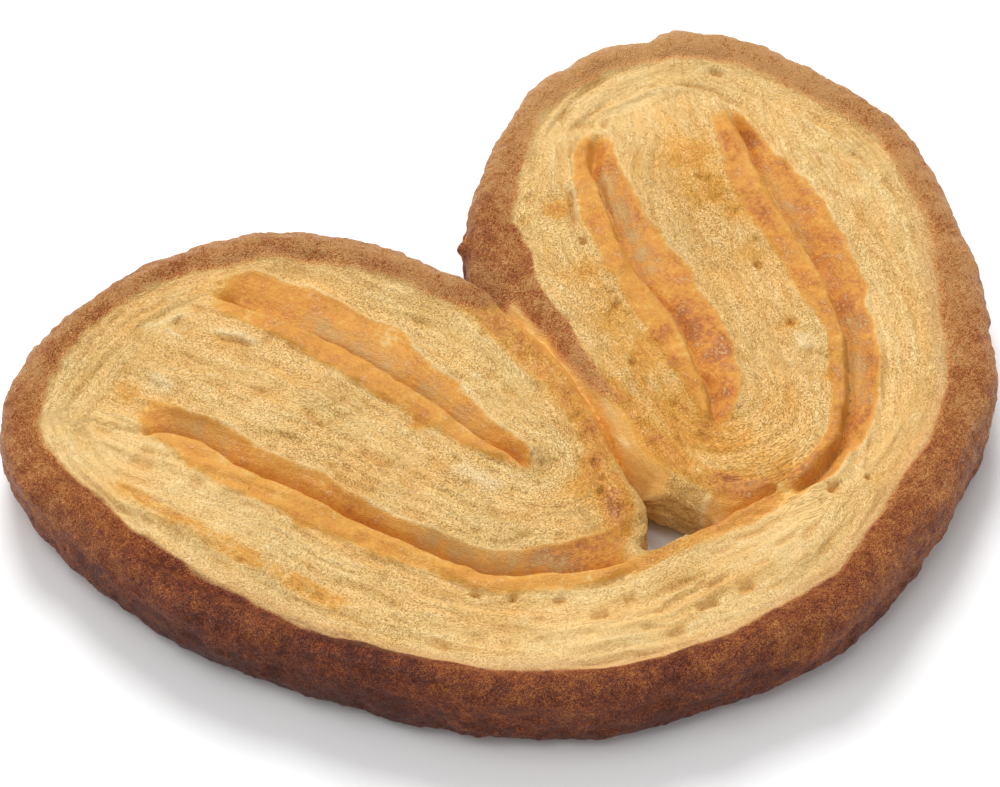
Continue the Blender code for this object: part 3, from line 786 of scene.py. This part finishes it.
class Tree:
    """Short names for making and linking shader nodes."""

    def __init__(self, name):
        self.material = bpy.data.materials.new(name)
        self.material.use_nodes = True
        self.nodes = self.material.node_tree.nodes
        self.links = self.material.node_tree.links
        self.shader = self.nodes["Principled BSDF"]

    def feed(self, socket, value):
        """Link a socket to the input, or set a number or a colour on it."""
        if isinstance(value, bpy.types.NodeSocket):
            self.links.new(value, socket)
        elif isinstance(value, tuple) and len(value) == 3 and socket.type == "RGBA":
            socket.default_value = (*value, 1)
        else:
            socket.default_value = value

    def stored(self, name):
        """A vertex attribute as a vector."""
        node = self.nodes.new("ShaderNodeAttribute")
        node.attribute_name = name
        return node.outputs["Vector"]

    def parts(self, name):
        """The three numbers of a vertex attribute."""
        split = self.nodes.new("ShaderNodeSeparateXYZ")
        self.links.new(self.stored(name), split.inputs[0])
        return split.outputs[0], split.outputs[1], split.outputs[2]

    def math(self, what, a, b=0.0, c=None, clamp=False):
        """A sum, product and so on of numbers or sockets."""
        node = self.nodes.new("ShaderNodeMath")
        node.operation = what
        node.use_clamp = clamp
        self.feed(node.inputs[0], a)
        self.feed(node.inputs[1], b)
        if c is not None:
            self.feed(node.inputs[2], c)
        return node.outputs[0]

    def spread(self, vector, x, y, z):
        """The vector with each part divided by a size."""
        node = self.nodes.new("ShaderNodeVectorMath")
        node.operation = "DIVIDE"
        self.links.new(vector, node.inputs[0])
        node.inputs[1].default_value = (x, y, z)
        return node.outputs[0]

    def place(self):
        """The point on the object, in millimetres."""
        node = self.nodes.new("ShaderNodeTexCoord")
        return self.spread(node.outputs["Object"], MM, MM, MM)

    def noise(self, place, size, detail=2.0, rough=0.5):
        """Soft noise of the given size."""
        node = self.nodes.new("ShaderNodeTexNoise")
        self.links.new(place, node.inputs["Vector"])
        node.inputs["Scale"].default_value = 1 / size
        node.inputs["Detail"].default_value = detail
        node.inputs["Roughness"].default_value = rough
        return node.outputs["Fac"]

    def cells(self, place):
        """Distance from the middles of random cells, and a random number for each cell."""
        node = self.nodes.new("ShaderNodeTexVoronoi")
        self.links.new(place, node.inputs["Vector"])
        split = self.nodes.new("ShaderNodeSeparateXYZ")
        self.links.new(node.outputs["Color"], split.inputs[0])
        return node.outputs["Distance"], split.outputs[0]

    def ramp(self, value, stops):
        """Greys or colours between the stops, picked by a value."""
        node = self.nodes.new("ShaderNodeValToRGB")
        self.feed(node.inputs[0], value)
        elements = node.color_ramp.elements
        while len(elements) < len(stops):
            elements.new(0.5)
        for element, (at, colour) in zip(elements, stops):
            element.position = at
            colour = colour if isinstance(colour, tuple) else (colour,) * 3
            element.color = (*colour, 1)
        return node.outputs[0]

    def mix(self, share, a, b):
        """The first colour, with a share of the second."""
        node = self.nodes.new("ShaderNodeMix")
        node.data_type = "RGBA"
        self.feed(node.inputs[0], share)
        self.feed(node.inputs[6], a)
        self.feed(node.inputs[7], b)
        return node.outputs[2]

    def bump(self, height, distance):
        """The surface's direction, tilted by a height."""
        node = self.nodes.new("ShaderNodeBump")
        node.inputs["Distance"].default_value = distance * MM
        self.feed(node.inputs["Height"], height)
        return node.outputs[0]


def layer_textures(tree):
    """Streaks along the layers, the froth's cells with a random number each, and the gold."""
    first, second, gold = tree.parts("counts")
    third = tree.math("SUBTRACT", tree.math("SUBTRACT", 1.0, first), second)
    streak, cell, chance = 0.5, 0.0, 0.0
    for number, count in enumerate((first, second, third)):
        place = tree.stored("layers_%d" % number)
        value = tree.noise(tree.spread(place, *STREAK_SIZE), 1.0, 2.0, 0.6)
        streak = tree.math("MULTIPLY_ADD", tree.math("SUBTRACT", value, 0.5), count, streak)
        distance, random = tree.cells(tree.spread(place, *CELL_SIZE))
        cell = tree.math("MULTIPLY_ADD", distance, count, cell)
        chance = tree.math("MULTIPLY_ADD", random, count, chance)
    return streak, cell, chance, gold


def pastry_material():
    """Layered crumb, toasted folds and a granular browned crust in one material."""
    tree = Tree(SLOT)
    place = tree.place()
    crust, toast, waxy = tree.parts("toasting")
    opening_shade, froth, baked = tree.parts("texture")
    pale_and_highlit, folded, tan = tree.parts("accent")
    streak, cell, chance, gold = layer_textures(tree)
    wide = tree.noise(place, WIDE_BLOTCH, 2.0)
    middling = tree.noise(place, MIDDLING_BLOTCH, 2.5, 0.6)
    small = tree.noise(place, SMALL_BLOTCH, 2.0, 0.6)
    granule, tone = tree.cells(tree.spread(place, *GRAIN_SIZE))
    plain = tree.math("SUBTRACT", 1.0, folded, clamp=True)

    # crumb: streaked along the layers, golden in places, paler where the layers lie tight
    crumb = tree.ramp(streak, CRUMB_TONES)
    golden = tree.math("MULTIPLY_ADD", wide, 1.0, -0.5)
    golden = tree.math("ADD", golden, gold, clamp=True)
    crumb = tree.mix(tree.math("MULTIPLY", golden, 0.85), crumb, GOLDEN_CRUMB)
    tight = tree.math("MULTIPLY", tree.math("SUBTRACT", 1.0, froth),
                      tree.math("SUBTRACT", 1.0, golden))
    crumb = tree.mix(tree.math("MULTIPLY", tight, 0.45), crumb, TIGHT_CRUMB)

    # froth: thin pale walls round small amber pits, with painted shade in the pits
    frothy = tree.math("MULTIPLY_ADD", froth, 0.8, 0.2)
    walls = tree.math("MULTIPLY", tree.ramp(cell, [(0.50, 0.0), (0.62, 1.0)]), frothy)
    crumb = tree.mix(tree.math("MULTIPLY", walls, 0.4), crumb, FROTH_WALL)
    some = tree.ramp(chance, [(0.48, 0.0), (0.54, 1.0)])
    shaded_pits = tree.math("MULTIPLY", tree.ramp(cell, [(0.34, 1.0), (0.48, 0.0)]), frothy)
    shaded_pits = tree.math("MULTIPLY", tree.math("MULTIPLY", shaded_pits, some), plain)
    crumb = tree.mix(tree.math("MULTIPLY", shaded_pits, 0.8), crumb, FROTH_PIT_SHADE)
    # pale crests and whitish dough, with a painted highlight on the crests
    crumb = tree.mix(tree.math("MULTIPLY", pale_and_highlit, 0.8), crumb, PALE_CREST_HIGHLIGHT)

    # toasted lips and walls with pale flecks that are partly painted glints, then the waxy floors,
    # the painted shade in the openings and the tan edge
    blotch = tree.math("MULTIPLY_ADD", middling, 2.0, tree.math("MULTIPLY_ADD", wide, 1.4, -2.2))
    blotch = tree.math("MULTIPLY_ADD", small, 1.0, blotch)
    toast_amount = tree.math("MULTIPLY_ADD", blotch, toast, toast, clamp=True)
    toasted = tree.ramp(toast_amount, TOASTED_TONES)
    colour = tree.mix(tree.ramp(toast_amount, [(0.03, 0.0), (0.34, 0.88)]), crumb, toasted)
    flecks_and_glints = tree.math("MULTIPLY", tree.ramp(small, [(0.52, 0.0), (0.60, 1.0)]),
                       tree.ramp(middling, [(0.60, 0.0), (0.42, 1.0)]))
    flecks_and_glints = tree.math("MULTIPLY", flecks_and_glints, tree.math("MULTIPLY", folded, 0.4))
    colour = tree.mix(flecks_and_glints, colour, FLECK_AND_GLINT)
    waxy_amount = tree.math("MULTIPLY", waxy, tree.ramp(middling, [(0.36, 0.15), (0.58, 1.0)]))
    colour = tree.mix(waxy_amount, colour, WAXY_FLOOR)
    colour = tree.mix(tree.math("MULTIPLY", opening_shade, 0.75), colour, OPENING_SHADE)
    colour = tree.mix(tree.math("MULTIPLY", tan, 0.6), colour, TAN_EDGE)

    # the browned sugar crust: granules of uneven tone with darker lines between them
    bake = tree.math("MULTIPLY_ADD", tone, -0.4, tree.math("ADD", baked, -0.16))
    bake = tree.math("MULTIPLY_ADD", granule, 0.6, bake)
    bake = tree.math("MULTIPLY_ADD", small, -1.1, bake)
    bake = tree.math("MULTIPLY_ADD", wide, 0.4, bake)
    bake = tree.math("MULTIPLY_ADD", middling, 0.9, bake)
    brown = tree.ramp(bake, CRUST_TONES)
    edge = tree.math("ADD", crust, tree.math("MULTIPLY_ADD", middling, 0.7, -0.35))
    colour = tree.mix(tree.ramp(edge, [(0.2, 0.0), (0.6, 1.0)]), colour, brown)
    tree.feed(tree.shader.inputs["Base Color"], colour)
    tree.feed(tree.shader.inputs["Specular IOR Level"], GLOSS)
    tree.feed(tree.shader.inputs["Roughness"], tree.math("MULTIPLY_ADD", small, 0.5, 0.2))

    # fine relief: streaks, pits and walls in the crumb, granules on the crust
    height = tree.math("MULTIPLY", streak, 0.25)
    height = tree.math("MULTIPLY_ADD", shaded_pits, -0.3, height)
    height = tree.math("MULTIPLY_ADD", walls, 0.12, height)
    height = tree.math("MULTIPLY_ADD", small, 0.15, height)
    grains = tree.math("MULTIPLY_ADD", granule, -1.0, tree.math("MULTIPLY", small, 0.9))
    grainy = tree.math("MAXIMUM", crust, tree.math("MULTIPLY", folded, 0.15))
    height = tree.math("MULTIPLY_ADD", grains, grainy, height)
    tree.feed(tree.shader.inputs["Normal"], tree.bump(height, BUMP_DEPTH))
    return tree.material


# ---------------------------------------------------------------- stage, light and camera
FLOOR_SIZE = 3.0
FLOOR_DROP = 0.0002       # keeps the floor just clear of the underside
FLOOR_COLOUR = (0.95, 0.95, 0.95)
SKY_STRENGTH = 0.56
# Soft round lamps: place, width across, and power
LAMPS = {"key": ((0.30, 0.55, 0.75), 0.45, 7.0), "top": ((-0.3, 0.0, 0.9), 0.7, 2.4)}
CAMERA_TURN = -36.5       # degrees round the slice, from its front
CAMERA_RISE = 50          # degrees above the table
CAMERA_DISTANCE = 0.450
CAMERA_TARGET = (-0.0077, 0.0027, 0.0115)
VIEW_WIDTH = 0.118        # how much the view takes in at the target
SENSOR_WIDTH = 36.0       # millimetres


def plain_material(name, colour, roughness):
    """One colour and one roughness, for the stage alone."""
    tree = Tree(name)
    tree.feed(tree.shader.inputs["Base Color"], colour)
    tree.feed(tree.shader.inputs["Roughness"], roughness)
    return tree.material


def floor():
    """A plain pale floor."""
    bpy.ops.mesh.primitive_plane_add(size=FLOOR_SIZE, location=(0, 0, -FLOOR_DROP))
    plane = bpy.context.object
    plane.name = "floor"
    plane.data.materials.append(plain_material("floor", FLOOR_COLOUR, 0.8))


def aim(thing, target):
    """Turn a lamp or the camera towards a place."""
    direction = Vector(target) - Vector(thing.location)
    thing.rotation_euler = direction.to_track_quat("-Z", "Y").to_euler()


def lamp(name, place, size, power):
    """A soft round lamp that shines on the object."""
    data = bpy.data.lights.new(name, "AREA")
    data.shape = "DISK"
    data.size = size
    data.energy = power
    light = bpy.data.objects.new(name, data)
    bpy.context.scene.collection.objects.link(light)
    light.location = place
    aim(light, (0, 0, 0))


def studio():
    """Even white light all round, and the lamps."""
    world = bpy.data.worlds.new("studio")
    world.use_nodes = True
    background = world.node_tree.nodes["Background"]
    background.inputs["Color"].default_value = (1, 1, 1, 1)
    background.inputs["Strength"].default_value = SKY_STRENGTH
    bpy.context.scene.world = world
    bpy.context.scene.view_settings.view_transform = "Standard"
    for name, (place, size, power) in LAMPS.items():
        lamp(name, place, size, power)


def camera():
    """The photograph's viewing angle."""
    turn = math.radians(CAMERA_TURN)
    rise = math.radians(CAMERA_RISE)
    distance = CAMERA_DISTANCE
    look = CAMERA_TARGET
    data = bpy.data.cameras.new("camera")
    data.sensor_width = SENSOR_WIDTH
    data.lens = SENSOR_WIDTH * distance / VIEW_WIDTH
    camera_object = bpy.data.objects.new("camera", data)
    bpy.context.scene.collection.objects.link(camera_object)
    camera_object.location = (look[0] + distance * math.sin(turn) * math.cos(rise),
                              look[1] - distance * math.cos(turn) * math.cos(rise),
                              look[2] + distance * math.sin(rise))
    aim(camera_object, look)
    bpy.context.scene.camera = camera_object


piece = base_piece()
dress(piece)
thin_out(piece)
piece.data.materials.clear()
piece.data.materials.append(pastry_material())
piece.data.shade_smooth()
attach(piece, "root")
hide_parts(NODE)
floor()
studio()
camera()
